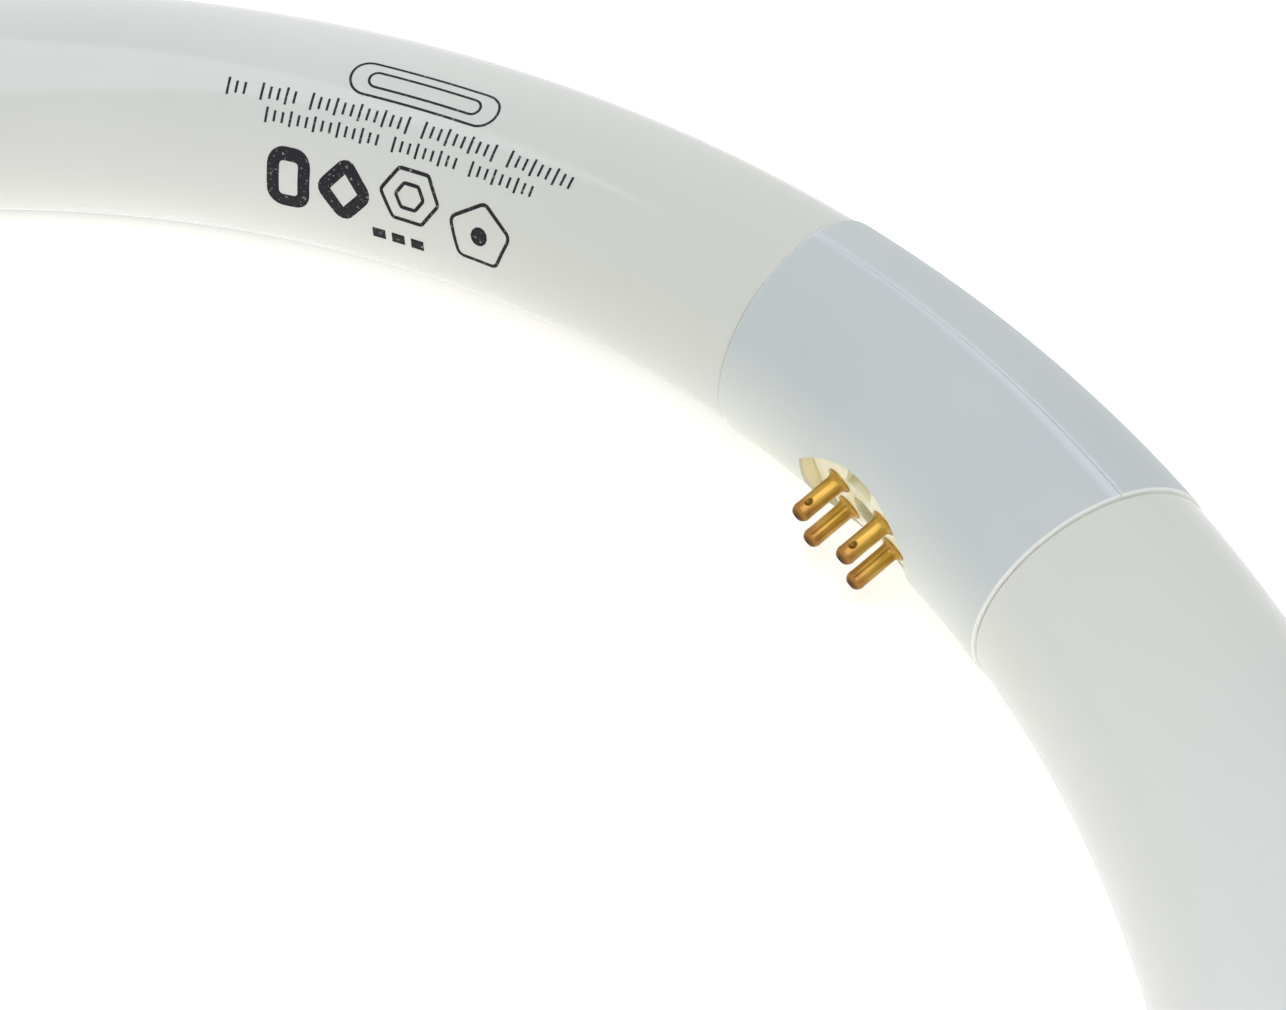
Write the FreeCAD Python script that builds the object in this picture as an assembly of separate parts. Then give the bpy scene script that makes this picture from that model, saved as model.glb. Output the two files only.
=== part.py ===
import FreeCAD, Part
import math
import os

# Circular fluorescent lamp, in millimetres.
# It lies flat: the lamp's centre is over the origin, the floor is z = 0,
# and the cap that joins the two ends of the glass is on the +X side.

Vec = FreeCAD.Vector

# Ring of glass
ring_radius = 138.0        # lamp centre to the tube's centre line
tube_radius = 14.5         # outside of the glass
shoulder_round = 0.5       # rounding where the glass steps down into the cap

# Cap, measured along the centre line where it is a length
cap_length = 51.0
cap_proud = 0.3            # how far the cap stands above the glass
cap_wall = 1.4
cap_edge_round = 0.3
end_gap = 0.1              # cap edge to the shoulder of the glass
neck_clearance = 0.15      # cap bore to the necked glass
glass_end_gap = 2.7        # rim of each glass end to the collar of the window

# Joint between the two halves of the cap
lap_length = 1.6           # tongue of the inner half under the outer half
lap_clearance = 0.06
parting_gap = 0.06
parting_bevel = 0.22
latch_height = 0.28
latch_width = 0.6
latch_length = 3.0
latch_offset = 8.5         # latch centre to the cap's middle, along the tube

# Window in the inner half, barrel shaped, seen along the pins
pin_tilt = 24.0            # pins below the plane of the ring, in degrees
window_length = 18.6
window_width = 15.8        # across the middle
window_end_width = 7.6     # across the straight ends
collar_wall = 1.0

# Contact block in the window
face_recess = 1.75         # face of the block below the cap's crest
side_recess = 0.6          # rounded long sides of the face below the cap's surface
block_clearance = 0.1
plug_height = 3.4
flange_length = 11.0
flange_thickness = 1.4
pocket_width = 4.0         # along the tube
pocket_height = 6.0        # across it
pocket_depth = 1.6
key_slot_width = 4.2
key_slot_length = 2.6      # in from the upper side of the block
key_slot_depth = 1.3

# Hooks that hold the block up in the window
hook_width = 4.0
hook_reach = 0.6
hook_height = 1.0
hook_clearance = 0.05

# Contact pins, set in a rectangle
pin_radius = 1.175
pin_shank_radius = 1.0     # thinner part of the pin, inside the block
pin_pitch_along = 7.92
pin_pitch_across = 6.35
pin_length = 6.6           # face of the block to the tip
pin_bore = 0.55
pin_hole_clearance = 0.03
pin_tip_length = 1.2
pin_tip_radius = 0.7
pin_collar_rim = 0.57      # collar's edge beyond the side of the pin
pin_collar_thickness = 0.2
pin_root_flare = 0.4       # foot of the hollow curve beyond the side of the pin
pin_root_height = 0.75
pin_flare_radius = 1.6
pin_flare_thickness = 0.4
dimple_radius = 0.59
dimple_depth = 0.3
dimple_from_tip = 2.05
dimple_turn = 8.0          # dimple round the pin from straight across, in degrees

# Sealed ends of the glass
end_round = 4.0
flare_mouth_radius = 9.0
flare_depth = 5.0
stem_radius = 5.2
exhaust_radius = 2.0
exhaust_length = 6.5

# Lead wires
wire_radius = 0.4
wire_offset = 3.5          # wire to the axis of the stem
wire_straight = 3.0        # straight wire past the rim of the glass end
wire_drop = 4.0            # wire below the pin before it bends
wire_end_inset = 0.3       # wire end below the tip of the pin

# Sizes worked out from the ones above
cap_radius = tube_radius + cap_proud
ring_height = max(cap_radius, tube_radius)
cap_bore = cap_radius - cap_wall
neck_radius = cap_bore - neck_clearance
tongue_thickness = (cap_wall - lap_clearance) / 2
full_turn = 2 * math.pi * ring_radius
shoulder_at = cap_length / 2 + end_gap
glass_end_at = window_length / 2 + collar_wall + glass_end_gap + end_round
face_height = cap_radius - face_recess
flange_top = face_height - plug_height
block_back = flange_top - flange_thickness
pin_tip = face_height + pin_length


def turn_at(distance):
    """Angle round the lamp, in degrees, of a distance along the centre line."""
    return math.degrees(distance / ring_radius)


def section_point(radius, angle):
    """Point of the tube's section on the +X side, its angle taken from inwards up over the top."""
    spread = math.radians(angle)
    return Vec(ring_radius - radius * math.cos(spread), 0, ring_height + radius * math.sin(spread))


def swept(face, start, end):
    """The face of a section carried round the lamp between two distances along the centre line."""
    face.rotate(Vec(0, 0, 0), Vec(0, 0, 1), turn_at(start))
    return face.revolve(Vec(0, 0, 0), Vec(0, 0, 1), turn_at(end - start))


def round_run(radius, start, end):
    """Solid of full round section along the ring."""
    circle = Part.makeCircle(radius, Vec(ring_radius, 0, ring_height), Vec(0, 1, 0))
    return swept(Part.Face(Part.Wire(circle)), start, end)


def wall_run(inner, outer, angle_from, angle_to, start, end):
    """Curved wall along the ring, between two radii and two angles of the tube's section."""
    middle = (angle_from + angle_to) / 2
    edges = [
        Part.Arc(*[section_point(outer, a) for a in (angle_from, middle, angle_to)]).toShape(),
        Part.makeLine(section_point(outer, angle_to), section_point(inner, angle_to)),
        Part.Arc(*[section_point(inner, a) for a in (angle_to, middle, angle_from)]).toShape(),
        Part.makeLine(section_point(inner, angle_from), section_point(outer, angle_from)),
    ]
    return swept(Part.Face(Part.Wire(edges)), start, end)


def turned(points_and_arcs):
    """Solid of revolution about Z. Each entry is a radius and a height, with a third point for an arc."""
    edges = []
    here = points_and_arcs[0]
    for entry in points_and_arcs[1:] + points_and_arcs[:1]:
        start = Vec(here[0], 0, here[1])
        end = Vec(entry[0], 0, entry[1])
        if len(entry) == 4:
            edges.append(Part.Arc(start, Vec(entry[2], 0, entry[3]), end).toShape())
        else:
            edges.append(Part.makeLine(start, end))
        here = entry
    return Part.Face(Part.Wire(edges)).revolve(Vec(0, 0, 0), Vec(0, 0, 1), 360)


def quarter_arc(centre_radius, centre_height, size):
    """Middle point of a quarter circle that turns from a wall over to an end face."""
    part = size * math.sqrt(0.5)
    return centre_radius + part, centre_height + part


def box(x, y, low, high):
    """Block centred on the pin frame's axis, between two heights."""
    return Part.makeBox(2 * x, 2 * y, high - low, Vec(-x, -y, low))


def barrel(grow, low, high):
    """Prism of the window's outline, grown by a margin: bowed long sides and straight ends."""
    x = window_length / 2 + grow
    y_end = window_end_width / 2 + grow
    y_middle = window_width / 2 + grow
    corners = [Vec(-x, -y_end, low), Vec(x, -y_end, low), Vec(x, y_end, low), Vec(-x, y_end, low)]
    outline = Part.Wire([
        Part.Arc(corners[0], Vec(0, -y_middle, low), corners[1]).toShape(),
        Part.makeLine(corners[1], corners[2]),
        Part.Arc(corners[2], Vec(0, y_middle, low), corners[3]).toShape(),
        Part.makeLine(corners[3], corners[0]),
    ])
    return Part.Face(outline).extrude(Vec(0, 0, high - low))


def pin_frame():
    """Place of the pins: Z along them from the tube's centre line, X along the tube, Y across."""
    tilt = math.radians(pin_tilt)
    along = Vec(0, -1, 0)
    across = Vec(-math.sin(tilt), 0, math.cos(tilt))
    outwards = Vec(-math.cos(tilt), 0, -math.sin(tilt))
    turn = FreeCAD.Rotation(along, across, outwards, "ZXY")
    return FreeCAD.Placement(Vec(ring_radius, 0, ring_height), turn)


def in_pin_frame(shape):
    """A copy of a shape, moved from the pin frame to its place in the lamp."""
    placed = shape.copy()
    placed.Placement = pin_frame().multiply(placed.Placement)
    return placed


def pin_places():
    """The four pins in the pin frame: the row on the upper side first at each end."""
    x = pin_pitch_along / 2
    y = pin_pitch_across / 2
    return [(-x, y), (-x, -y), (x, y), (x, -y)]


def glass_end_frame():
    """Place of the glass end on the +Y side: Z along the tube, out towards the cap's middle."""
    turn = math.radians(turn_at(glass_end_at))
    centre = Vec(ring_radius * math.cos(turn), ring_radius * math.sin(turn), ring_height)
    outwards = Vec(math.sin(turn), -math.cos(turn), 0)
    return FreeCAD.Placement(centre, FreeCAD.Rotation(Vec(), Vec(0, 0, 1), outwards, "ZYX"))


def mirrored(shape):
    return shape.mirror(Vec(0, 0, 0), Vec(0, 1, 0))


def sealed_end():
    """Rounded end of the glass, its flare turned in to the stem, and the sealed exhaust tip."""
    stem_face = end_round - flare_depth
    rim_radius = neck_radius - end_round
    dome = turned([
        (0, 0), (neck_radius, 0),
        (rim_radius, end_round, *quarter_arc(rim_radius, 0, end_round)),
        (0, end_round),
    ])
    flare = turned([
        (0, stem_face), (stem_radius, stem_face),
        (flare_mouth_radius, end_round), (0, end_round),
    ])
    nose = stem_face + exhaust_length
    exhaust = turned([
        (0, stem_face), (exhaust_radius, stem_face), (exhaust_radius, nose - exhaust_radius),
        (0, nose, *quarter_arc(0, nose - exhaust_radius, exhaust_radius)),
    ])
    parts = [dome, flare, exhaust]
    for part in parts:
        part.Placement = glass_end_frame().multiply(part.Placement)
    return parts


def discharge_tube():
    """The coated glass ring, one sealed piece from end to end."""
    glass = round_run(tube_radius, shoulder_at, full_turn - shoulder_at)
    steps = [edge for edge in glass.Edges if is_circle(edge, tube_radius)]
    glass = glass.makeFillet(shoulder_round, steps)
    neck = round_run(neck_radius, glass_end_at, shoulder_at)
    dome, flare, exhaust = sealed_end()
    glass = glass.fuse([neck, mirrored(neck), dome, mirrored(dome)])
    glass = glass.cut([flare, mirrored(flare)])
    return glass.fuse([exhaust, mirrored(exhaust)]).removeSplitter()


def is_circle(edge, radius, height=None):
    """Whether an edge is an arc of this radius, and of this height where one is given."""
    if not isinstance(edge.Curve, Part.Circle):
        return False
    level = height is None or abs(edge.Curve.Center.z - height) < 0.01
    return abs(edge.Curve.Radius - radius) < 0.001 and level


def edges_softened(half):
    """Bevels along the parting line and rounds the edges at the ends of half a cap."""
    parting = [
        edge for edge in half.Edges
        if is_circle(edge, ring_radius, ring_height + cap_radius)
        or is_circle(edge, ring_radius, ring_height - cap_radius)
        or is_circle(edge, ring_radius + parting_gap, ring_height + parting_crown())
        or is_circle(edge, ring_radius + parting_gap, ring_height - parting_crown())
    ]
    half = half.makeChamfer(parting_bevel, parting)
    ends = [edge for edge in half.Edges if is_circle(edge, cap_radius)]
    return half.makeFillet(cap_edge_round, ends)


def parting_crown():
    """Height of the outer half's edge, which starts just past the crest."""
    return math.sqrt(cap_radius ** 2 - parting_gap ** 2)


def parting_angle():
    return 90 + math.degrees(math.asin(parting_gap / cap_radius))


def lap_angle(length):
    """Angle of the section that a length on the cap's bore takes up."""
    return math.degrees(length / cap_bore)


def both_sides(make):
    """A wall made above the ring's plane, and the same one below it."""
    upper = make(1)
    lower = make(-1)
    return [upper, lower]


def latch(side, centre, grow):
    """Catch on the tongue, or with a margin the pocket for it."""
    middle = side * (90 + lap_angle(lap_length / 2))
    half_angle = lap_angle(latch_width / 2 + grow)
    half_length = latch_length / 2 + grow
    foot = cap_bore + tongue_thickness / 2
    top = cap_bore + tongue_thickness + latch_height + grow
    return wall_run(foot, top, middle - half_angle, middle + half_angle,
                    centre - half_length, centre + half_length)


def latches(grow):
    return [latch(side, centre, grow) for side in (1, -1) for centre in (latch_offset, -latch_offset)]


def cap_inner_shell():
    """Half of the cap on the lamp's inside: a moulded gutter with tongues, window, collar and hooks."""
    half_length = cap_length / 2
    shell = edges_softened(wall_run(cap_bore, cap_radius, -90, 90, -half_length, half_length))

    def tongue(side):
        angles = sorted((side * 89, side * (90 + lap_angle(lap_length))))
        return wall_run(cap_bore, cap_bore + tongue_thickness, *angles, -half_length, half_length)

    inside = round_run(cap_radius - cap_wall / 2, -window_length, window_length)
    collar = in_pin_frame(barrel(collar_wall, flange_top, cap_radius)).common(inside)
    arm_foot = block_back - hook_clearance - hook_height
    arms = box(window_length / 2 + collar_wall, hook_width / 2, arm_foot, flange_top)
    arms = arms.cut(box(window_length / 2 - hook_reach, hook_width, arm_foot, flange_top))
    arms = arms.cut(box(window_length / 2, hook_width, block_back - hook_clearance, flange_top))
    shell = shell.fuse(both_sides(tongue) + [collar, in_pin_frame(arms)])
    shell = shell.cut(in_pin_frame(barrel(0, flange_top, 2 * cap_radius)))
    return shell.fuse(latches(0)).removeSplitter()


def cap_outer_shell():
    """Half of the cap on the lamp's outside: a plain gutter, rebated for the tongues."""
    half_length = cap_length / 2
    rebate = 90 + lap_angle(lap_length + lap_clearance)
    start = parting_angle()

    def lip(side):
        inner = cap_bore + tongue_thickness + lap_clearance
        angles = sorted((side * start, side * (rebate + 1)))
        return wall_run(inner, cap_radius, *angles, -half_length, half_length)

    shell = wall_run(cap_bore, cap_radius, rebate, 360 - rebate, -half_length, half_length)
    shell = shell.fuse(both_sides(lip)).removeSplitter()
    return edges_softened(shell).cut(latches(lap_clearance))


def contact_block():
    """Moulded carrier of the pins: a plug with rounded sides in the window, flanges behind the collar."""
    plug = barrel(-block_clearance, block_back, face_height)
    flange = barrel(collar_wall, block_back, flange_top)
    flange = flange.common(box(flange_length / 2, window_width, block_back, flange_top))
    block = plug.fuse(flange).removeSplitter()
    holes = [
        Part.makeCylinder(pin_shank_radius + pin_hole_clearance, face_height, Vec(x, y, block_back / 2))
        for x, y in pin_places()
    ]
    rounding = round_run(cap_radius - side_recess, -window_length, window_length)
    return in_pin_frame(block.cut(holes + [face_pocket(), key_slot()])).common(rounding)


def face_pocket():
    """Blind pocket with round ends in the middle of the block's face."""
    floor = face_height - pocket_depth
    radius = pocket_width / 2
    y = pocket_height / 2 - radius
    ends = [Part.makeCylinder(radius, face_height, Vec(0, side * y, floor)) for side in (1, -1)]
    return box(radius, y, floor, floor + face_height).fuse(ends).removeSplitter()


def key_slot():
    """Notch in the middle of the block's upper side, which shows its right way up."""
    slot = box(key_slot_width / 2, key_slot_length, face_height - key_slot_depth, 2 * face_height)
    slot.translate(Vec(0, window_width / 2, 0))
    return slot


def contact_pin(x, y):
    """Hollow pin: riveted behind the block, collared on its face, domed and dimpled near the tip."""
    tail = block_back - pin_flare_thickness
    tip_start = pin_tip - pin_tip_length
    collar_top = face_height + pin_collar_thickness
    collar_radius = pin_radius + pin_collar_rim
    root_top = collar_top + pin_root_height
    bulge = math.radians(45)
    tip_middle = (
        pin_tip_radius + (pin_radius - pin_tip_radius) * math.cos(bulge),
        tip_start + pin_tip_length * math.sin(bulge),
    )
    pin = turned([
        (pin_bore, tail), (pin_flare_radius, tail), (pin_flare_radius, block_back),
        (pin_shank_radius, block_back), (pin_shank_radius, face_height),
        (collar_radius, face_height), (collar_radius, collar_top), (pin_radius + pin_root_flare, collar_top),
        (pin_radius, root_top, *root_middle(root_top)), (pin_radius, tip_start),
        (pin_tip_radius, pin_tip, *tip_middle), (pin_bore, pin_tip),
    ])
    ball_radius = (dimple_radius ** 2 + dimple_depth ** 2) / (2 * dimple_depth)
    reach = pin_radius - dimple_depth + ball_radius
    side = math.copysign(1, y)
    turn = math.radians(dimple_turn)
    centre = Vec(side * reach * math.sin(turn), side * reach * math.cos(turn), pin_tip - dimple_from_tip)
    pin = pin.cut(Part.makeSphere(ball_radius, centre))
    pin.translate(Vec(x, y, 0))
    return in_pin_frame(pin)


def root_middle(top):
    """Middle point of the hollow curve that runs from the collar up into the side of the pin."""
    radius = (pin_root_flare ** 2 + pin_root_height ** 2) / (2 * pin_root_flare)
    half_turn = math.asin(pin_root_height / radius) / 2
    return pin_radius + radius * (1 - math.cos(half_turn)), top - radius * math.sin(half_turn)


def lead_wire(x, y):
    """Bare lead from the stem of the nearer glass end, through the pin's bore to its tip."""
    frame = glass_end_frame()
    stem_face = end_round - flare_depth
    lift = math.copysign(wire_offset, y)
    leave = frame.multVec(Vec(0, lift, stem_face))
    clear = frame.multVec(Vec(0, lift, end_round + wire_straight))
    under = pin_frame().multVec(Vec(-abs(x), y, block_back - pin_flare_thickness - wire_drop))
    top = pin_frame().multVec(Vec(-abs(x), y, pin_tip - wire_end_inset))
    wire = round_wire([leave, clear, under, top], wire_radius)
    return wire if x < 0 else mirrored(wire)


def round_wire(route, radius):
    """Round wire along straight runs joined by arcs as large as the runs allow."""
    edges = []
    start = route[0]
    for before, corner, after in zip(route, route[1:], route[2:]):
        back = (before - corner).normalize()
        ahead = (after - corner).normalize()
        half_turn = (math.pi - back.getAngle(ahead)) / 2
        shorter = min((before - corner).Length, (after - corner).Length)
        tangent = 0.45 * shorter
        bend = tangent / math.tan(half_turn)
        bisector = (back + ahead).normalize()
        middle = corner + bisector * (bend / math.cos(half_turn) - bend)
        arc_start = corner + back * tangent
        arc_end = corner + ahead * tangent
        edges.append(Part.LineSegment(start, arc_start).toShape())
        edges.append(Part.Arc(arc_start, middle, arc_end).toShape())
        print("wire bend radius", round(bend, 2))
        start = arc_end
    edges.append(Part.LineSegment(start, route[-1]).toShape())
    path = Part.Wire(edges)
    circle = Part.makeCircle(radius, route[0], route[1] - route[0])
    wire = path.makePipeShell([Part.Wire(circle)], True, False)
    expected = math.pi * radius ** 2 * path.Length
    print("wire length", round(path.Length, 2), "volume over expected", round(wire.Volume / expected, 4))
    return wire


def write(name, shape):
    solid = shape.Solids[0] if len(shape.Solids) == 1 else shape
    print(name, "solids", len(shape.Solids), "valid", shape.isValid(), "volume", round(shape.Volume, 1))
    solid.exportStep("parts/" + name + ".step")


os.makedirs("parts", exist_ok=True)
write("discharge_tube", discharge_tube())
write("cap_inner_shell", cap_inner_shell())
write("cap_outer_shell", cap_outer_shell())
write("contact_block", contact_block())
for number, place in enumerate(pin_places(), start=1):
    write("contact_pin_" + str(number), contact_pin(*place))
    write("lead_wire_" + str(number), lead_wire(*place))
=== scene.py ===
import math

import bpy
from mathutils import Matrix, Vector


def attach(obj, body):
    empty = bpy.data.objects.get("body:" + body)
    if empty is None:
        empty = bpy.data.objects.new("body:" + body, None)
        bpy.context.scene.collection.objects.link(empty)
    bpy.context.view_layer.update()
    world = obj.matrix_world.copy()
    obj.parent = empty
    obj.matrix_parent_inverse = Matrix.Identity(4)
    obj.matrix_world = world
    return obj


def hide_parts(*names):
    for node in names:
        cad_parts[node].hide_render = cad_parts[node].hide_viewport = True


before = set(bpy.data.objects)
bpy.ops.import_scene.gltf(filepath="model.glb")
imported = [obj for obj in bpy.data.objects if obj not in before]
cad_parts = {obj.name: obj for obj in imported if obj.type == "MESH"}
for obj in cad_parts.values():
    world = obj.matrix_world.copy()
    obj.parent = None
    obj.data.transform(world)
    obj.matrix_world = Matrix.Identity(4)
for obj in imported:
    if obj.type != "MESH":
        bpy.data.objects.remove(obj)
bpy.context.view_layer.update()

MM = 0.001

# Ring, in metres: the centre line of the tube lies on a circle round the Z axis
ring_radius = 138.0 * MM
ring_height = 14.8 * MM
glass_radius = 14.5 * MM
cap_radius = 14.8 * MM
cap_half_length = 25.5 * MM      # from the cap's middle to its end, along the centre line
tube_sides = 144
station_step = 1.8 * MM

# Shoulders of the glass, just past the cap's ends
shoulder_gap = 0.03 * MM
shoulder_round = 0.5 * MM

# Ends of the glass, hidden in the cap
neck_radius = 13.25 * MM
glass_end_at = 17.0 * MM         # where the end starts to round off, from the cap's middle
end_round = 4.0 * MM
flare_mouth_radius = 9.0 * MM
flare_depth = 5.0 * MM
stem_radius = 5.2 * MM
exhaust_radius = 2.0 * MM
exhaust_length = 6.5 * MM

# Window for the pins, and the pins: distances out from the tube's centre line, along their own axis
window_half_length = 10.4 * MM   # with its wall
pin_turn = math.radians(114.0)   # from straight up, over the inner side, to the pins' axis
pin_tip = 19.65 * MM
block_face = 13.05 * MM
pocket_reach = 3.2 * MM          # from the window's middle to past the pocket's ends
pin_radius = 1.175 * MM
pin_half_pitch_along = 3.96 * MM
pin_half_pitch_across = 3.175 * MM

# Print, flat: along the centre line from the cap's middle, and round the tube up from its inner side
ink_top = 0.02 * MM
ink_foot = -0.02 * MM
ink_step = 0.35 * MM
corner_steps = 8
fine_line = 0.34 * MM
thin_line = 0.5 * MM
bold_line = 1.8 * MM
tick_pitch = 1.15 * MM
group_space = 1.3 * MM
block_pitch = 3.0 * MM
block_length = 2.0 * MM
block_line = 1.6 * MM
first_groups = (3, 5, 13, 10, 9)
second_groups = (15, 9, 9)
long_badge = (80.3 * MM, 18.35 * MM)
first_scale = (106.3 * MM, 13.4 * MM)
second_scale = (100.3 * MM, 10.6 * MM)
square_badge = (96.2 * MM, 3.0 * MM)
diamond_badge = (87.8 * MM, 3.1 * MM)
hexagon_badge = (77.9 * MM, 4.8 * MM)
block_row = (79.4 * MM, -1.9 * MM)
pentagon_badge = (66.7 * MM, 2.7 * MM)

# Light of the studio
room_strength = 0.2
cool_white = "#F6FBFF"
warm_white = "#FFFBF6"


def linear(hex_colour):
    """Linear RGBA of an sRGB colour written in hex."""
    parts = [int(hex_colour[i:i + 2], 16) / 255 for i in (1, 3, 5)]
    return [p / 12.92 if p <= 0.04045 else ((p + 0.055) / 1.055) ** 2.4 for p in parts] + [1.0]


def add(tree, kind, inputs=None, out=None, **settings):
    """Adds a node with its settings and links, and returns the output asked for, or its first live one."""
    made = tree.nodes.new(kind)
    for name, value in settings.items():
        setattr(made, name, value)
    for key, value in (inputs or {}).items():
        target = next(s for s in made.inputs if key in (s.identifier, s.name))
        if isinstance(value, bpy.types.NodeSocket):
            tree.links.new(value, target)
        else:
            target.default_value = value
    return made.outputs[out] if out else next((s for s in made.outputs if s.enabled), None)


# Materials

def new_material(name):
    """An empty material, its tree, and Object coordinates, which are metres in the lamp's own frame."""
    material = bpy.data.materials.new(name)
    material.use_nodes = True
    tree = material.node_tree
    tree.nodes.clear()
    return material, tree, add(tree, "ShaderNodeTexCoord", out="Object")


def along_tube(tree, place):
    """Distance along the tube's centre line from the cap's middle, positive on the +Y side."""
    apart = add(tree, "ShaderNodeSeparateXYZ", {"Vector": place}, out="X").node.outputs
    turn = add(tree, "ShaderNodeMath", {"Value": apart["Y"], "Value_001": apart["X"]}, operation="ARCTAN2")
    return add(tree, "ShaderNodeMath", {"Value": turn, "Value_001": ring_radius}, operation="MULTIPLY")


def off_axis(tree, place):
    """Distance from the Z axis of the coordinates given."""
    level = add(tree, "ShaderNodeVectorMath", {"Vector": place, "Vector_001": (1, 1, 0)},
                operation="MULTIPLY")
    return add(tree, "ShaderNodeVectorMath", {"Vector": level}, out="Value", operation="LENGTH")


def off_centre_line(tree, reach, height):
    """Distance out from the tube's centre line, from those off the lamp's axis and above the table."""
    beside = add(tree, "ShaderNodeMath", {"Value": reach, "Value_001": ring_radius}, operation="SUBTRACT")
    above = add(tree, "ShaderNodeMath", {"Value": height, "Value_001": ring_height}, operation="SUBTRACT")
    section = add(tree, "ShaderNodeCombineXYZ", {"X": beside, "Y": above})
    return add(tree, "ShaderNodeVectorMath", {"Vector": section}, out="Value", operation="LENGTH")


def in_pin_line(tree, place):
    """Place in the pins' own frame, X across them, Y along the tube and Z out along them, and that Z."""
    in_line = add(tree, "ShaderNodeMapping", {
        "Vector": place, "Location": (ring_radius, 0.0, ring_height), "Rotation": (0.0, -pin_turn, 0.0)},
        vector_type="TEXTURE")
    return in_line, add(tree, "ShaderNodeSeparateXYZ", {"Vector": in_line}, out="Z")


def seam_light(tree, along, edge, full, thinnest):
    """Share of painted light at the cap's ends, over the seam's shade: it grows from the edge to the full
    distance, both past the end, and thins to the share given at the +Y end."""
    from_middle = add(tree, "ShaderNodeMath", {"Value": along}, operation="ABSOLUTE")
    at_end = add(tree, "ShaderNodeMapRange", {
        "Value": from_middle, "From Min": cap_half_length + edge, "From Max": cap_half_length + full})
    spread = add(tree, "ShaderNodeMapRange", {
        "Value": along, "From Min": -cap_half_length, "From Max": cap_half_length,
        "To Min": 1.0, "To Max": thinnest})
    return add(tree, "ShaderNodeMath", {"Value": at_end, "Value_001": spread}, operation="MULTIPLY")


def specks(tree, place, spacing, radius):
    """Share of a few tiny round specks of dirt, one in each cell of the spacing but left out of most."""
    left_out = 0.62
    cells = add(tree, "ShaderNodeTexVoronoi", {"Vector": place, "Scale": 1 / spacing}, out="Distance")
    spot = add(tree, "ShaderNodeMapRange", {
        "Value": cells, "From Min": radius / spacing, "From Max": 0.5 * radius / spacing})
    kept = add(tree, "ShaderNodeMath", {"Value": cells.node.outputs["Color"], "Value_001": left_out},
               operation="GREATER_THAN")
    return add(tree, "ShaderNodeMath", {"Value": spot, "Value_001": kept}, operation="MULTIPLY")


def coated_glass():
    """Drawn soda-lime glass, dusted white inside: the powder gives a soft grey-white body, darker and
    yellower towards the cap and a little bluer along the -Y arm as painted cool light, and the glass a sharp
    gloss. Where it enters the cap it is painted paler, painted light over the seam's shade."""
    yellowest_at, yellow_reach, far_tone_reach = 9 * MM, 14 * MM, 110 * MM
    cool_light_from, cool_light_full = -20 * MM, -90 * MM
    cloud_size, speck_spacing, speck_radius = 38 * MM, 14 * MM, 0.35 * MM
    seam_light_edge, seam_light_full, thinnest_seam_light = 0.4 * MM, 0.15 * MM, 0.25

    material, tree, place = new_material("coated_glass_tube")
    along = along_tube(tree, place)
    from_yellow = add(tree, "ShaderNodeMath", {"Value": along, "Value_001": yellowest_at},
                      operation="SUBTRACT")
    off_yellow = add(tree, "ShaderNodeMath", {"Value": from_yellow}, operation="ABSOLUTE")
    # Darker and yellower towards the cap, fading to the far tone along the arms.
    far = add(tree, "ShaderNodeMapRange", {
        "Value": off_yellow, "From Min": yellow_reach, "From Max": far_tone_reach})
    # Painted cool light: the -Y arm is tinted bluer for the cool light falling on it.
    cool_light_share = add(tree, "ShaderNodeMapRange", {
        "Value": along, "From Min": cool_light_from, "From Max": cool_light_full})
    far_tone_and_cool_light = add(tree, "ShaderNodeMix", {
        "Factor_Float": cool_light_share, "A_Color": linear("#DEDEDB"), "B_Color": linear("#DFDFE3")},
        data_type="RGBA")
    powder = add(tree, "ShaderNodeMix", {
        "Factor_Float": far, "A_Color": linear("#C6C7BD"), "B_Color": far_tone_and_cool_light}, data_type="RGBA")
    cloud = add(tree, "ShaderNodeTexNoise", {"Vector": place, "Scale": 1 / cloud_size, "Detail": 3.0})
    clouded = add(tree, "ShaderNodeMix", {
        "Factor_Float": cloud, "A_Color": powder, "B_Color": linear("#CFCFC9")}, data_type="RGBA")
    # Painted light: the glass is painted paler at the cap's ends, over the seam's shade.
    seam_light_share = seam_light(tree, along, seam_light_edge, seam_light_full, thinnest_seam_light)
    seam_lit = add(tree, "ShaderNodeMix", {
        "Factor_Float": seam_light_share, "A_Color": clouded, "B_Color": linear("#F0F0EA")}, data_type="RGBA")
    dirt = specks(tree, place, speck_spacing, speck_radius)
    body = add(tree, "ShaderNodeMix", {
        "Factor_Float": dirt, "A_Color": seam_lit, "B_Color": linear("#A9A9A0")}, data_type="RGBA")
    shader = add(tree, "ShaderNodeBsdfPrincipled", {
        "Base Color": body, "Roughness": 0.6, "IOR": 1.5, "Specular IOR Level": 0.2, "Coat Weight": 1.0,
        "Coat Roughness": 0.09, "Coat IOR": 1.52})
    add(tree, "ShaderNodeOutputMaterial", {"Surface": shader})
    return material


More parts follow.
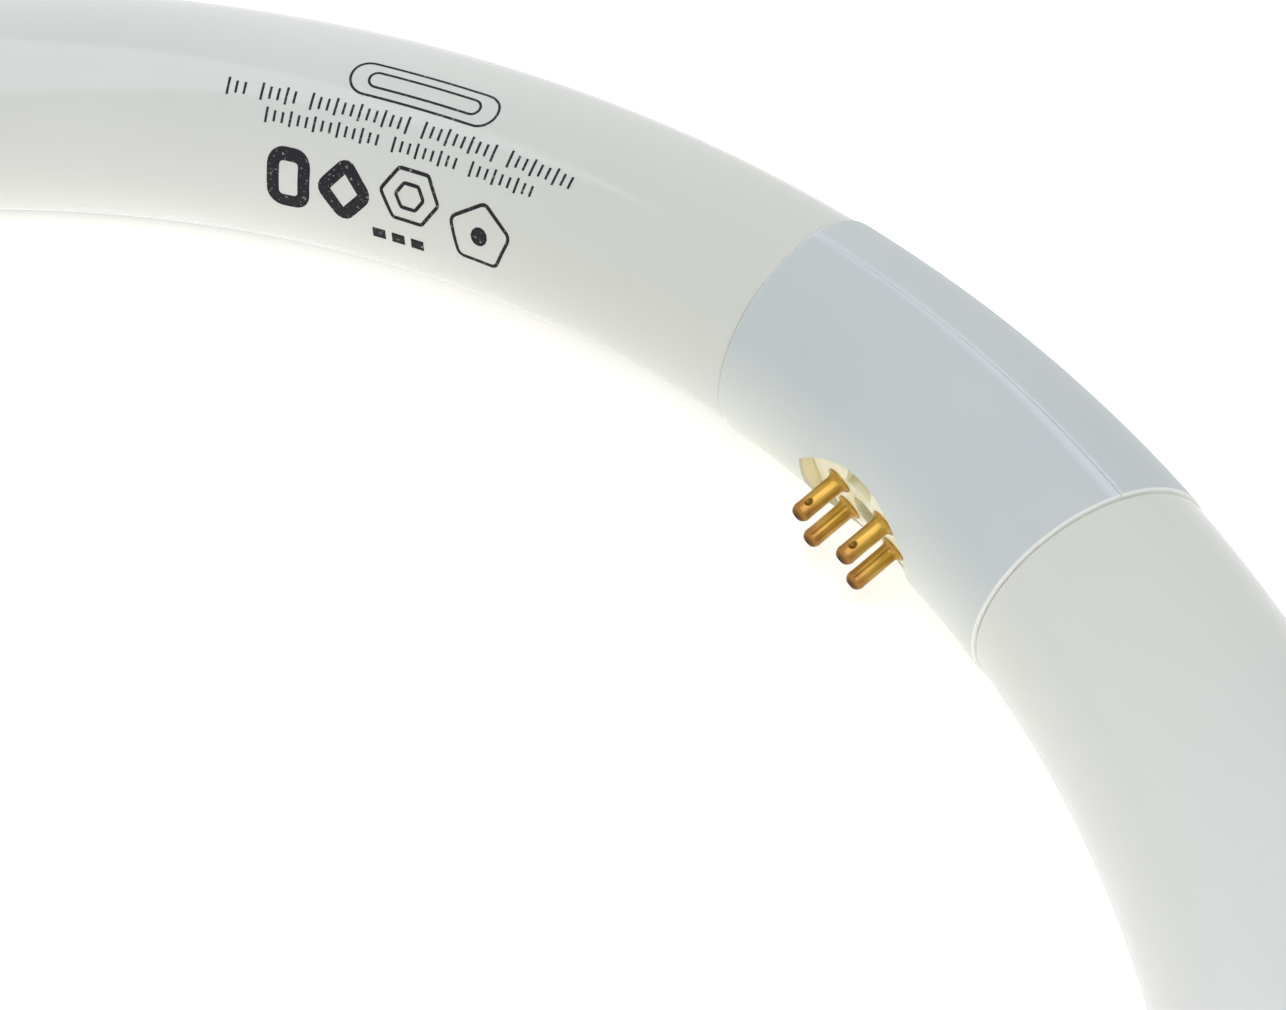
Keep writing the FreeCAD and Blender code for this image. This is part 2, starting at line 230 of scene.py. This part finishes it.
def burr_and_highlight_share(tree, place, along, reach, height):
    """Share of the pale band on the crest of the cap, part burr and part painted highlight: a band beside
    the joint of its halves that wanders a little and fades towards +Y."""
    inset, slant, wander, wander_size = 0.65 * MM, 0.012, 0.4 * MM, 6 * MM
    edge, core = 1.1 * MM, 0.05 * MM
    whole_until, faded_from, faded_share = -20 * MM, 12 * MM, 0.65

    drift = add(tree, "ShaderNodeTexNoise", {"Vector": place, "Scale": 1 / wander_size, "Detail": 2.0})
    straight = add(tree, "ShaderNodeMath", {
        "Value": along, "Value_001": slant, "Value_002": ring_radius - inset}, operation="MULTIPLY_ADD")
    middle = add(tree, "ShaderNodeMath", {"Value": drift, "Value_001": wander, "Value_002": straight},
                 operation="MULTIPLY_ADD")
    off_middle = add(tree, "ShaderNodeMath", {"Value": reach, "Value_001": middle}, operation="SUBTRACT")
    beside = add(tree, "ShaderNodeMath", {"Value": off_middle}, operation="ABSOLUTE")
    pressed = add(tree, "ShaderNodeMapRange", {"Value": beside, "From Min": edge, "From Max": core},
                  interpolation_type="SMOOTHSTEP")
    upper = add(tree, "ShaderNodeMath", {"Value": height, "Value_001": ring_height},
                operation="GREATER_THAN")
    fading = add(tree, "ShaderNodeMapRange", {
        "Value": along, "From Min": whole_until, "From Max": faded_from,
        "To Min": 1.0, "To Max": faded_share})
    on_crest = add(tree, "ShaderNodeMath", {"Value": pressed, "Value_001": upper}, operation="MULTIPLY")
    return add(tree, "ShaderNodeMath", {"Value": on_crest, "Value_001": fading}, operation="MULTIPLY")


def cap_plastic():
    """Injection-moulded polycarbonate, cool white: a satin skin with the fine grain of its mould, paler and
    creamier low down as painted light from the table, the window's walls round the pins painted pale cream
    as painted light over their shade, a pale band on the crest, part burr of the joint and part painted
    highlight, the joint painted paler over its shade, and the ends painted paler over the seam's shade."""
    underlight_from, underlight_full = 21.5 * MM, 8 * MM
    cloud_size, speck_spacing, speck_radius = 20 * MM, 9 * MM, 0.3 * MM
    grain_size, grain_depth = 0.35 * MM, 0.05 * MM
    joint_edge, joint_core = 0.4 * MM, 0.15 * MM
    wall_edge, wall_full = 0.1 * MM, 0.6 * MM
    seam_light_edge, seam_light_full, thinnest_seam_light = -0.35 * MM, -0.15 * MM, 0.15

    material, tree, place = new_material("moulded_cap_plastic")
    along = along_tube(tree, place)
    reach = off_axis(tree, place)
    height = add(tree, "ShaderNodeSeparateXYZ", {"Vector": place}, out="Z")
    outward = off_centre_line(tree, reach, height)
    cloud = add(tree, "ShaderNodeTexNoise", {"Vector": place, "Scale": 1 / cloud_size, "Detail": 2.0})
    cool = add(tree, "ShaderNodeMix", {
        "Factor_Float": cloud, "A_Color": linear("#B9BEBF"), "B_Color": linear("#C0C5C5")},
        data_type="RGBA")
    # Painted light: paler and creamier low down, for the light from the table below.
    painted_underlight = add(tree, "ShaderNodeMapRange", {
        "Value": height, "From Min": underlight_from, "From Max": underlight_full})
    skin_and_underlight = add(tree, "ShaderNodeMix", {
        "Factor_Float": painted_underlight, "A_Color": cool, "B_Color": linear("#D5D7CD")}, data_type="RGBA")

    # Pale band on the crest: part burr of the joint, part painted highlight.
    burr_and_highlight = burr_and_highlight_share(tree, place, along, reach, height)
    burred_and_highlit = add(tree, "ShaderNodeMix", {
        "Factor_Float": burr_and_highlight, "A_Color": skin_and_underlight, "B_Color": linear("#CACFD4")}, data_type="RGBA")
    # Painted light: the joint between the halves is painted paler over its shade.
    off_joint = add(tree, "ShaderNodeMath", {"Value": reach, "Value_001": ring_radius},
                    operation="SUBTRACT")
    by_joint = add(tree, "ShaderNodeMath", {"Value": off_joint}, operation="ABSOLUTE")
    joint_painted_light = add(tree, "ShaderNodeMapRange", {
        "Value": by_joint, "From Min": joint_edge, "From Max": joint_core})
    joint_lit = add(tree, "ShaderNodeMix", {
        "Factor_Float": joint_painted_light, "A_Color": burred_and_highlit, "B_Color": linear("#D4D8DA")}, data_type="RGBA")

    # Painted light: the window's walls round the pins are painted pale cream over their shade.
    inside = add(tree, "ShaderNodeMapRange", {
        "Value": outward, "From Min": cap_radius - wall_edge, "From Max": cap_radius - wall_full})
    from_middle = add(tree, "ShaderNodeMath", {"Value": along}, operation="ABSOLUTE")
    by_pins = add(tree, "ShaderNodeMath", {"Value": from_middle, "Value_001": window_half_length},
                  operation="LESS_THAN")
    window_wall_painted_light = add(tree, "ShaderNodeMath", {"Value": inside, "Value_001": by_pins},
                      operation="MULTIPLY")
    walls_lit = add(tree, "ShaderNodeMix", {
        "Factor_Float": window_wall_painted_light, "A_Color": joint_lit, "B_Color": linear("#F4EDC9")}, data_type="RGBA")
    # Painted light: the cap's ends are painted paler, over the seam's shade.
    at_end = seam_light(tree, along, seam_light_edge, seam_light_full, thinnest_seam_light)
    seam_lit = add(tree, "ShaderNodeMix", {
        "Factor_Float": at_end, "A_Color": walls_lit, "B_Color": linear("#F0F0EA")}, data_type="RGBA")
    dirt = specks(tree, place, speck_spacing, speck_radius)
    body = add(tree, "ShaderNodeMix", {
        "Factor_Float": dirt, "A_Color": seam_lit, "B_Color": linear("#9A9F9F")}, data_type="RGBA")

    grain = add(tree, "ShaderNodeTexNoise", {"Vector": place, "Scale": 1 / grain_size, "Detail": 3.0})
    skin = add(tree, "ShaderNodeBump", {"Strength": 0.15, "Distance": grain_depth, "Height": grain})
    shader = add(tree, "ShaderNodeBsdfPrincipled", {
        "Base Color": body, "Roughness": 0.42, "IOR": 1.585, "Normal": skin})
    add(tree, "ShaderNodeOutputMaterial", {"Surface": shader})
    return material


def block_plastic():
    """Moulded polyester, cream: harder and glossier than the cap, a little yellowed, with painted shade in
    its pocket.
    """
    cloud_size, pocket_shade_depth = 5 * MM, 0.4 * MM

    material, tree, place = new_material("moulded_cream_block")
    cloud = add(tree, "ShaderNodeTexNoise", {"Vector": place, "Scale": 1 / cloud_size, "Detail": 2.0})
    cream = add(tree, "ShaderNodeMix", {
        "Factor_Float": cloud, "A_Color": linear("#EBE4BB"), "B_Color": linear("#F5F2DF")},
        data_type="RGBA")
    in_line, out_along = in_pin_line(tree, place)
    # Painted shade: the pocket between the pins is darker below the block's face.
    central = add(tree, "ShaderNodeMath", {"Value": off_axis(tree, in_line), "Value_001": pocket_reach},
                  operation="LESS_THAN")
    deep = add(tree, "ShaderNodeMapRange", {
        "Value": out_along, "From Min": block_face, "From Max": block_face - pocket_shade_depth})
    pocket_painted_shade = add(tree, "ShaderNodeMath", {"Value": central, "Value_001": deep}, operation="MULTIPLY")
    body = add(tree, "ShaderNodeMix", {
        "Factor_Float": pocket_painted_shade, "A_Color": cream, "B_Color": linear("#DDD8BD")}, data_type="RGBA")
    shader = add(tree, "ShaderNodeBsdfPrincipled", {"Base Color": body, "Roughness": 0.35, "IOR": 1.57})
    add(tree, "ShaderNodeOutputMaterial", {"Surface": shader})
    return material


def rolled_brass():
    """Drawn and rolled brass, lightly tarnished: pale gold with fine lines along the pin, reddened towards
    the tip, and brown at the tip's end, in the dimples and in the bores: oxide where nothing rubs it off,
    deepened there as painted shade."""
    gold_until, red_from = pin_tip - 2.8 * MM, pin_tip - 0.8 * MM
    brown_from, brown_full = pin_tip - 0.45 * MM, pin_tip - 0.05 * MM
    skin_edge, sunk_full = pin_radius - 0.05 * MM, pin_radius - 0.18 * MM
    dimples_end = pin_tip - 1.2 * MM
    oxide_and_shade_strength = 0.85
    line_size, line_stretch = 0.4 * MM, (1, 1, 0.1)

    material, tree, place = new_material("rolled_brass")
    in_line, out_along = in_pin_line(tree, place)
    drawn = add(tree, "ShaderNodeVectorMath", {"Vector": in_line, "Vector_001": line_stretch},
                operation="MULTIPLY")
    lines = add(tree, "ShaderNodeTexNoise", {"Vector": drawn, "Scale": 1 / line_size, "Detail": 2.0})
    shade = add(tree, "ShaderNodeMapRange", {"Value": lines, "From Min": 0.3, "From Max": 0.7})
    gold = add(tree, "ShaderNodeMix", {
        "Factor_Float": shade, "A_Color": linear("#AE883A"), "B_Color": linear("#C8A152")},
        data_type="RGBA")
    towards_tip = add(tree, "ShaderNodeMapRange", {
        "Value": out_along, "From Min": gold_until, "From Max": red_from}, interpolation_type="SMOOTHSTEP")
    reddened = add(tree, "ShaderNodeMix", {
        "Factor_Float": towards_tip, "A_Color": gold, "B_Color": linear("#A87A42")}, data_type="RGBA")

    # Brown oxide at the tip's end and in the dimples, deepened as painted shade.
    at_end = add(tree, "ShaderNodeMapRange", {
        "Value": out_along, "From Min": brown_from, "From Max": brown_full})
    folded = add(tree, "ShaderNodeVectorMath", {"Vector": in_line}, operation="ABSOLUTE")
    centred = add(tree, "ShaderNodeVectorMath", {
        "Vector": folded, "Vector_001": (pin_half_pitch_across, pin_half_pitch_along, 0.0)},
        operation="SUBTRACT")
    sunk = add(tree, "ShaderNodeMapRange", {
        "Value": off_axis(tree, centred), "From Min": skin_edge, "From Max": sunk_full})
    before_tip = add(tree, "ShaderNodeMath", {"Value": out_along, "Value_001": dimples_end},
                     operation="LESS_THAN")
    dimple_oxide_and_shade = add(tree, "ShaderNodeMath", {"Value": sunk, "Value_001": before_tip}, operation="MULTIPLY")
    oxide_and_shade = add(tree, "ShaderNodeMath", {"Value": at_end, "Value_001": dimple_oxide_and_shade}, operation="MAXIMUM")
    share = add(tree, "ShaderNodeMath", {"Value": oxide_and_shade, "Value_001": oxide_and_shade_strength},
                operation="MULTIPLY")
    body = add(tree, "ShaderNodeMix", {
        "Factor_Float": share, "A_Color": reddened, "B_Color": linear("#5A3814")}, data_type="RGBA")
    shader = add(tree, "ShaderNodeBsdfPrincipled", {"Base Color": body, "Metallic": 1.0, "Roughness": 0.3})
    add(tree, "ShaderNodeOutputMaterial", {"Surface": shader})
    return material


def lead_wire_metal():
    """Drawn and nickel-plated lead wire: dull silver, unevenly stained."""
    stain_size = 1 * MM

    material, tree, place = new_material("plated_lead_wire")
    stain = add(tree, "ShaderNodeTexNoise", {"Vector": place, "Scale": 1 / stain_size, "Detail": 2.0})
    body = add(tree, "ShaderNodeMix", {
        "Factor_Float": stain, "A_Color": linear("#A89C8E"), "B_Color": linear("#C4BBAF")},
        data_type="RGBA")
    shader = add(tree, "ShaderNodeBsdfPrincipled", {"Base Color": body, "Metallic": 1.0, "Roughness": 0.4})
    add(tree, "ShaderNodeOutputMaterial", {"Surface": shader})
    return material


def pad_print_ink():
    """Baked pad-print ink, near black: thin, dull, with pinholes where it missed the glass."""
    pinhole_size, pinhole_edge, pinhole_core = 0.45 * MM, 0.62, 0.72

    material, tree, place = new_material("pad_print_ink")
    gaps = add(tree, "ShaderNodeTexNoise", {"Vector": place, "Scale": 1 / pinhole_size, "Detail": 2.0})
    missed = add(tree, "ShaderNodeMapRange", {
        "Value": gaps, "From Min": pinhole_edge, "From Max": pinhole_core})
    body = add(tree, "ShaderNodeMix", {
        "Factor_Float": missed, "A_Color": linear("#222226"), "B_Color": linear("#8B8B88")},
        data_type="RGBA")
    shader = add(tree, "ShaderNodeBsdfPrincipled", {
        "Base Color": body, "Roughness": 0.55, "IOR": 1.5, "Specular IOR Level": 0.2})
    add(tree, "ShaderNodeOutputMaterial", {"Surface": shader})
    return material


# Shapes grown by Geometry Nodes

def new_growth(name, **given):
    """An empty Geometry Nodes tree with its named inputs, and their sockets."""
    tree = bpy.data.node_groups.new(name, "GeometryNodeTree")
    for key, kind in given.items():
        tree.interface.new_socket(key, in_out="INPUT", socket_type="NodeSocket" + kind)
    tree.interface.new_socket("Grown", in_out="OUTPUT", socket_type="NodeSocketGeometry")
    return tree, tree.nodes.new("NodeGroupInput").outputs


def dressed(tree, shape, material):
    """Ends a tree: whole, smooth and in its material."""
    smooth = add(tree, "GeometryNodeSetShadeSmooth", {"Geometry": shape})
    whole = add(tree, "GeometryNodeRealizeInstances", {"Geometry": smooth})
    finished = add(tree, "GeometryNodeSetMaterial", {"Geometry": whole, "Material": material})
    add(tree, "NodeGroupOutput", {"Grown": finished})


def on_the_ring(tree, along, angle, radius):
    """Place on the ring: along its centre line, at an angle up from the inner side, and at a radius of the
    tube."""
    start = add(tree, "ShaderNodeCombineXYZ", {
        "X": add(tree, "ShaderNodeMath", {"Value": radius, "Value_001": -1.0}, operation="MULTIPLY")})
    about_tube = add(tree, "ShaderNodeVectorRotate", {"Vector": start, "Angle": angle},
                     rotation_type="Y_AXIS")
    carried = add(tree, "ShaderNodeVectorMath", {
        "Vector": about_tube, "Vector_001": (ring_radius, 0.0, ring_height)}, operation="ADD")
    turn = add(tree, "ShaderNodeMath", {"Value": along, "Value_001": ring_radius}, operation="DIVIDE")
    return add(tree, "ShaderNodeVectorRotate", {"Vector": carried, "Angle": turn}, rotation_type="Z_AXIS")


def grown(name, start_mesh, tree, values):
    """A plain mesh object made from a starting mesh by a tree, its inputs given by name."""
    seed = bpy.data.objects.new(name + "_start", start_mesh)
    bpy.context.scene.collection.objects.link(seed)
    modifier = seed.modifiers.new("grow", "NODES")
    modifier.node_group = tree
    for socket in tree.interface.items_tree:
        if socket.in_out == "INPUT" and socket.name in values:
            modifier[socket.identifier] = values[socket.name]
    depsgraph = bpy.context.evaluated_depsgraph_get()
    mesh = bpy.data.meshes.new_from_object(seed.evaluated_get(depsgraph), depsgraph=depsgraph)
    bpy.data.objects.remove(seed)
    piece = bpy.data.objects.new(name, mesh)
    bpy.context.scene.collection.objects.link(piece)
    return piece


# Glass ring

def quarter(centre_along, centre_radius, size, first, last, steps=8):
    """Stations on a quarter circle of the tube's outline, from one angle in degrees to another."""
    turns = [math.radians(first + (last - first) * i / steps) for i in range(steps + 1)]
    return [(centre_along + size * math.cos(t), centre_radius + size * math.sin(t)) for t in turns]


def glass_end_outline():
    """Outline of one end, from the tip of the exhaust tube to the shoulder: distance along and radius."""
    rim = glass_end_at - end_round
    stem_face = rim + flare_depth
    nose = stem_face - exhaust_length + exhaust_radius
    shoulder = cap_half_length + shoulder_gap
    outline = quarter(nose, 0.0, exhaust_radius, 180, 90)
    outline += [(stem_face, exhaust_radius), (stem_face, stem_radius), (rim, flare_mouth_radius)]
    outline += quarter(glass_end_at, neck_radius - end_round, end_round, 180, 90)
    outline += [(shoulder, neck_radius)]
    outline += quarter(shoulder + shoulder_round, glass_radius - shoulder_round, shoulder_round, 180, 90)
    return outline


def glass_outline():
    """Outline of the whole tube, end to end, with even stations between the two shoulders."""
    end = glass_end_outline()
    full = 2 * math.pi * ring_radius
    start = end[-1][0]
    count = round((full - 2 * start) / station_step)
    middle = [(start + (full - 2 * start) * i / count, glass_radius) for i in range(1, count)]
    return end + middle + [(full - along, radius) for along, radius in reversed(end)]


def swept_tube():
    """Tree that carries stations of an outline round the ring and closes them into a tube. A station is a
    row of a grid, and the columns turn downwards from the inner side, so that the faces point outwards."""
    weld = 0.001 * MM

    tree, given = new_growth("swept_tube", Outline="Geometry", Sides="Int", Material="Material")
    stations = add(tree, "GeometryNodeAttributeDomainSize", {"Geometry": given["Outline"]},
                   out="Point Count")
    columns = add(tree, "ShaderNodeMath", {"Value": given["Sides"], "Value_001": 1.0}, operation="ADD")
    grid = add(tree, "GeometryNodeMeshGrid", {"Vertices X": stations, "Vertices Y": columns})
    index = add(tree, "GeometryNodeInputIndex")
    inside_cell = add(tree, "ShaderNodeMath", {"Value": index, "Value_001": 0.5}, operation="ADD")
    cells = add(tree, "ShaderNodeMath", {"Value": inside_cell, "Value_001": columns}, operation="DIVIDE")
    row = add(tree, "ShaderNodeMath", {"Value": cells}, operation="FLOOR")
    column = add(tree, "ShaderNodeMath", {"Value": index, "Value_001": columns}, operation="MODULO")
    side = add(tree, "ShaderNodeMath", {"Value": column, "Value_001": given["Sides"]}, operation="DIVIDE")
    angle = add(tree, "ShaderNodeMath", {"Value": side, "Value_001": -2 * math.pi}, operation="MULTIPLY")
    station = add(tree, "GeometryNodeSampleIndex", {
        "Geometry": given["Outline"], "Value": add(tree, "GeometryNodeInputPosition"), "Index": row},
        data_type="FLOAT_VECTOR")
    apart = add(tree, "ShaderNodeSeparateXYZ", {"Vector": station}, out="X").node.outputs
    shaped = add(tree, "GeometryNodeSetPosition", {
        "Geometry": grid, "Position": on_the_ring(tree, apart["X"], angle, apart["Y"])})
    closed = add(tree, "GeometryNodeMergeByDistance", {"Geometry": shaped, "Distance": weld})
    dressed(tree, closed, given["Material"])
    return tree


def glass_ring(material):
    """The sealed glass tube: its solid's form with a finer skin, closer to the cap's ends."""
    stations = bpy.data.meshes.new("glass_stations")
    stations.from_pydata([(along, radius, 0.0) for along, radius in glass_outline()], [], [])
    ring = grown("glass_ring", stations, swept_tube(), {"Sides": tube_sides, "Material": material})
    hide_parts("discharge_tube")
    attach(ring, "root")


# Print on the glass

def polygon(place, width, height, sides, corner, line, turn=0.0):
    """Closed stroke round a polygon of the outer size given: its corners, their round and its width."""
    along, up = place
    reach, rise = (width - line) / 2, (height - line) / 2
    angles = [turn + 2 * math.pi * i / sides for i in range(sides)]
    corners = [(along + reach * math.cos(t), up + rise * math.sin(t)) for t in angles]
    return corners, corner, line


def box(place, width, height, corner, line):
    """Closed stroke round a box, which its round may make a capsule or a dot."""
    along, up = place
    reach, rise = (width - line) / 2, (height - line) / 2
    corners = [(along + i * reach, up + j * rise) for i, j in ((1, 1), (-1, 1), (-1, -1), (1, -1))]
    return corners, corner, line


def bar(start, end, line):
    """Open straight stroke."""
    return [start, end], 0.0, line


def tick_row(place, groups, tall, short):
    """Row of upright ticks in groups, every third one tall, running towards the cap from its start."""
    along, up = place
    ticks = []
    for group in groups:
        for i in range(group):
            half = (tall if i % 3 == 0 else short) / 2
            ticks.append(bar((along, up - half), (along, up + half), fine_line))
            along -= tick_pitch
        along -= group_space
    return ticks


def all_strokes():
    """Every stroke of the print, in plain shapes alone."""
    strokes = [
        box(long_badge, 21.0 * MM, 5.3 * MM, 2.4 * MM, fine_line),
        box(long_badge, 16.0 * MM, 2.6 * MM, 1.1 * MM, fine_line),
        box(square_badge, 6.4 * MM, 8.3 * MM, 1.5 * MM, bold_line),
        polygon(diamond_badge, 8.4 * MM, 9.0 * MM, 4, 0.8 * MM, bold_line),
        polygon(hexagon_badge, 9.4 * MM, 8.2 * MM, 6, 0.5 * MM, thin_line),
        polygon(hexagon_badge, 4.8 * MM, 4.2 * MM, 6, 0.3 * MM, thin_line),
        polygon(pentagon_badge, 10.4 * MM, 9.4 * MM, 5, 1.0 * MM, thin_line, turn=math.pi / 2),
        box(pentagon_badge, 2.6 * MM, 2.6 * MM, 0.65 * MM, 1.3 * MM)]
    strokes += tick_row(first_scale, first_groups, 2.3 * MM, 1.6 * MM)
    strokes += tick_row(second_scale, second_groups, 2.0 * MM, 1.4 * MM)
    along, up = block_row
    for i in (-1, 0, 1):
        start = along + i * block_pitch - block_length / 2
        strokes.append(bar((start, up), (start + block_length, up), block_line))
    return strokes


def stroke_mesh(strokes):
    """Edges through the corners of every stroke, each corner with its round and half the line's width."""
    points, edges, rounds, halves = [], [], [], []
    for corners, corner, line in strokes:
        first = len(points)
        points += [(along, up, 0.0) for along, up in corners]
        edges += [(first + i, first + i + 1) for i in range(len(corners) - 1)]
        if len(corners) > 2:
            edges.append((first + len(corners) - 1, first))
        rounds += [corner] * len(corners)
        halves += [line / 2] * len(corners)
    mesh = bpy.data.meshes.new("stroke_corners")
    mesh.from_pydata(points, edges, [])
    for name, values in (("corner_round", rounds), ("half_line", halves)):
        mesh.attributes.new(name, "FLOAT", "POINT").data.foreach_set("value", values)
    return mesh


def wrapped_strokes():
    """Tree that rounds the corners of flat strokes, gives them their width and lays them on the glass as a
    film. The section is 2 wide, as it is scaled by half a line, and laying it down turns it inside out, so
    its faces are flipped."""
    section_width, section_height, section_cuts = 2.0, 0.1, 3

    tree, given = new_growth("wrapped_strokes", Strokes="Geometry", Step="Float", Top="Float", Foot="Float",
                             Material="Material")
    corner = add(tree, "GeometryNodeInputNamedAttribute", {"Name": "corner_round"}, data_type="FLOAT")
    half = add(tree, "GeometryNodeInputNamedAttribute", {"Name": "half_line"}, data_type="FLOAT")
    curves = add(tree, "GeometryNodeMeshToCurve", {"Mesh": given["Strokes"]})
    rounded = add(tree, "GeometryNodeFilletCurve", {
        "Curve": curves, "Radius": corner, "Count": corner_steps, "Limit Radius": True}, mode="POLY")
    even = add(tree, "GeometryNodeResampleCurve", {"Curve": rounded, "Length": given["Step"]},
               mode="LENGTH")
    level = add(tree, "GeometryNodeSetCurveNormal", {"Curve": even}, mode="Z_UP")
    outline = add(tree, "GeometryNodeCurvePrimitiveQuadrilateral", {
        "Width": section_width, "Height": section_height}, mode="RECTANGLE")
    section = add(tree, "GeometryNodeSubdivideCurve", {"Curve": outline, "Cuts": section_cuts})
    flat = add(tree, "GeometryNodeCurveToMesh", {
        "Curve": level, "Profile Curve": section, "Scale": half, "Fill Caps": True})
    apart = add(tree, "ShaderNodeSeparateXYZ", {"Vector": add(tree, "GeometryNodeInputPosition")},
                out="X").node.outputs
    angle = add(tree, "ShaderNodeMath", {"Value": apart["Y"], "Value_001": glass_radius},
                operation="DIVIDE")
    on_top = add(tree, "ShaderNodeMath", {"Value": apart["Z"], "Value_001": 0.0},
                 operation="GREATER_THAN")
    lift = add(tree, "ShaderNodeMapRange", {
        "Value": on_top, "To Min": given["Foot"], "To Max": given["Top"]})
    radius = add(tree, "ShaderNodeMath", {"Value": lift, "Value_001": glass_radius}, operation="ADD")
    laid = add(tree, "GeometryNodeSetPosition", {
        "Geometry": flat, "Position": on_the_ring(tree, apart["X"], angle, radius)})
    outward = add(tree, "GeometryNodeFlipFaces", {"Mesh": laid})
    dressed(tree, outward, given["Material"])
    return tree


def printed_marks(material):
    """Plain printed marks: a thin film of ink on the glass."""
    marks = grown("printed_marks", stroke_mesh(all_strokes()), wrapped_strokes(), {
        "Step": ink_step, "Top": ink_top, "Foot": ink_foot, "Material": material})
    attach(marks, "root")


# Stage

def shown_white(tree):
    """Share of a ray that sees the background in gloss or through clear things, and the same with the
    camera's."""
    path = tree.nodes.new("ShaderNodeLightPath").outputs
    in_gloss = add(tree, "ShaderNodeMath", {
        "Value": path["Is Glossy Ray"], "Value_001": path["Is Transmission Ray"]}, operation="MAXIMUM")
    seen = add(tree, "ShaderNodeMath", {"Value": in_gloss, "Value_001": path["Is Camera Ray"]},
               operation="MAXIMUM")
    return in_gloss, seen


def paper_floor():
    """Seamless white paper: matt, lifted towards white where the camera sees it, less so near the lamp,
    where it keeps the lamp's shadow, and plain white in gloss."""
    half_width = 6.0
    near, far, near_lift = 0.4, 2.0, 0.4

    material, tree, place = new_material("seamless_paper")
    in_gloss, seen = shown_white(tree)
    paper = add(tree, "ShaderNodeBsdfDiffuse", {"Color": linear("#F4F4F2")})
    away = add(tree, "ShaderNodeVectorMath", {"Vector": place}, out="Value", operation="LENGTH")
    level = add(tree, "ShaderNodeMapRange", {
        "Value": away, "From Min": near, "From Max": far, "To Min": near_lift, "To Max": 1.0})
    lift = add(tree, "ShaderNodeMath", {"Value": seen, "Value_001": level}, operation="MULTIPLY")
    glow = add(tree, "ShaderNodeEmission", {"Strength": lift})
    lifted = add(tree, "ShaderNodeAddShader", {"Shader": paper, "Shader_001": glow})
    white = add(tree, "ShaderNodeEmission", {"Strength": 1.0})
    both = add(tree, "ShaderNodeMixShader", {"Fac": in_gloss, "Shader": lifted, "Shader_001": white})
    add(tree, "ShaderNodeOutputMaterial", {"Surface": both})

    mesh = bpy.data.meshes.new("floor")
    corners = [(i * half_width, j * half_width, 0.0) for i, j in ((-1, -1), (1, -1), (1, 1), (-1, 1))]
    mesh.from_pydata(corners, [], [(0, 1, 2, 3)])
    mesh.materials.append(material)
    floor = bpy.data.objects.new("floor", mesh)
    bpy.context.scene.collection.objects.link(floor)


def white_room():
    """Plain white surroundings, which light the lamp weakly and show white to the camera and in gloss."""
    world = bpy.data.worlds.new("white_room")
    bpy.context.scene.world = world
    world.use_nodes = True
    tree = world.node_tree
    tree.nodes.clear()
    seen = shown_white(tree)[1]
    level = add(tree, "ShaderNodeMapRange", {"Value": seen, "To Min": room_strength, "To Max": 1.0})
    light = add(tree, "ShaderNodeBackground", {"Color": linear("#FFFFFF"), "Strength": level})
    add(tree, "ShaderNodeOutputWorld", {"Surface": light})


def lamp(name, place, aim, width, power, colour, in_gloss=False):
    """A soft square lamp, in metres and watts, left out of reflections unless they are wanted."""
    light = bpy.data.lights.new(name, "AREA")
    light.shape = "SQUARE"
    light.size = width
    light.energy = power
    light.color = linear(colour)[:3]
    holder = bpy.data.objects.new(name, light)
    holder.location = place
    holder.rotation_euler = (Vector(aim) - Vector(place)).to_track_quat("-Z", "Y").to_euler()
    holder.visible_camera = False
    holder.visible_glossy = in_gloss
    bpy.context.scene.collection.objects.link(holder)


def studio_lamps():
    """Two lamps overhead, of which only the first shows in gloss, one behind the cap, one beside the +Y arm,
    and a glow up from the table inside the ring."""
    cap_middle, cap_side = (0.1, 0.0, 0.0), (0.1, 0.05, 0.0)
    table, straight_up = (0.0, 0.0, 0.5 * MM), (0.0, 0.0, 1.0)
    lamp("overhead", (-0.02, -0.35, 1.4), cap_middle, 1.65, 10.4, cool_white, in_gloss=True)
    lamp("overhead_fill", (-0.03, -0.38, 1.5), cap_middle, 1.75, 9.8, cool_white)
    lamp("back", (1.0, 1.0, 0.8), cap_side, 0.8, 5.3, cool_white)
    lamp("side", (-0.6, 1.2, 0.4), cap_side, 0.8, 7.3, cool_white)
    lamp("table_glow", table, straight_up, 0.6, 0.8, warm_white)


def camera():
    """The photograph's own view, from inside the ring down over the cap."""
    place = Vector((0.003748, -0.107448, 0.173084))
    heading = math.radians(39.587)    # from +Y towards +X
    downward = math.radians(45.85)
    roll = math.radians(5.54)
    lens, sensor_width = 55.606, 36.0    # in millimetres
    nearest = 0.005

    forward = Vector((math.sin(heading) * math.cos(downward), math.cos(heading) * math.cos(downward),
                      -math.sin(downward)))
    level = Vector((math.cos(heading), -math.sin(heading), 0))
    upright = level.cross(forward)
    right = level * math.cos(roll) + upright * math.sin(roll)
    turned = Matrix((right, right.cross(forward), -forward)).transposed()
    data = bpy.data.cameras.new("camera")
    data.lens = lens
    data.sensor_width = sensor_width
    data.clip_start = nearest
    holder = bpy.data.objects.new("camera", data)
    holder.matrix_world = Matrix.Translation(place) @ turned.to_4x4()
    bpy.context.scene.collection.objects.link(holder)
    bpy.context.scene.camera = holder


bpy.context.scene.view_settings.view_transform = "Standard"
camera()
white_room()
paper_floor()
studio_lamps()

glass = coated_glass()
finishes = {
    "cap": cap_plastic(), "contact_block": block_plastic(), "contact_pin": rolled_brass(),
    "lead_wire": lead_wire_metal(), "discharge_tube": glass}
glass_ring(glass)
printed_marks(pad_print_ink())
for name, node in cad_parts.items():
    finish = next(material for start, material in finishes.items() if name.startswith(start))
    node.data.materials.clear()
    node.data.materials.append(finish)
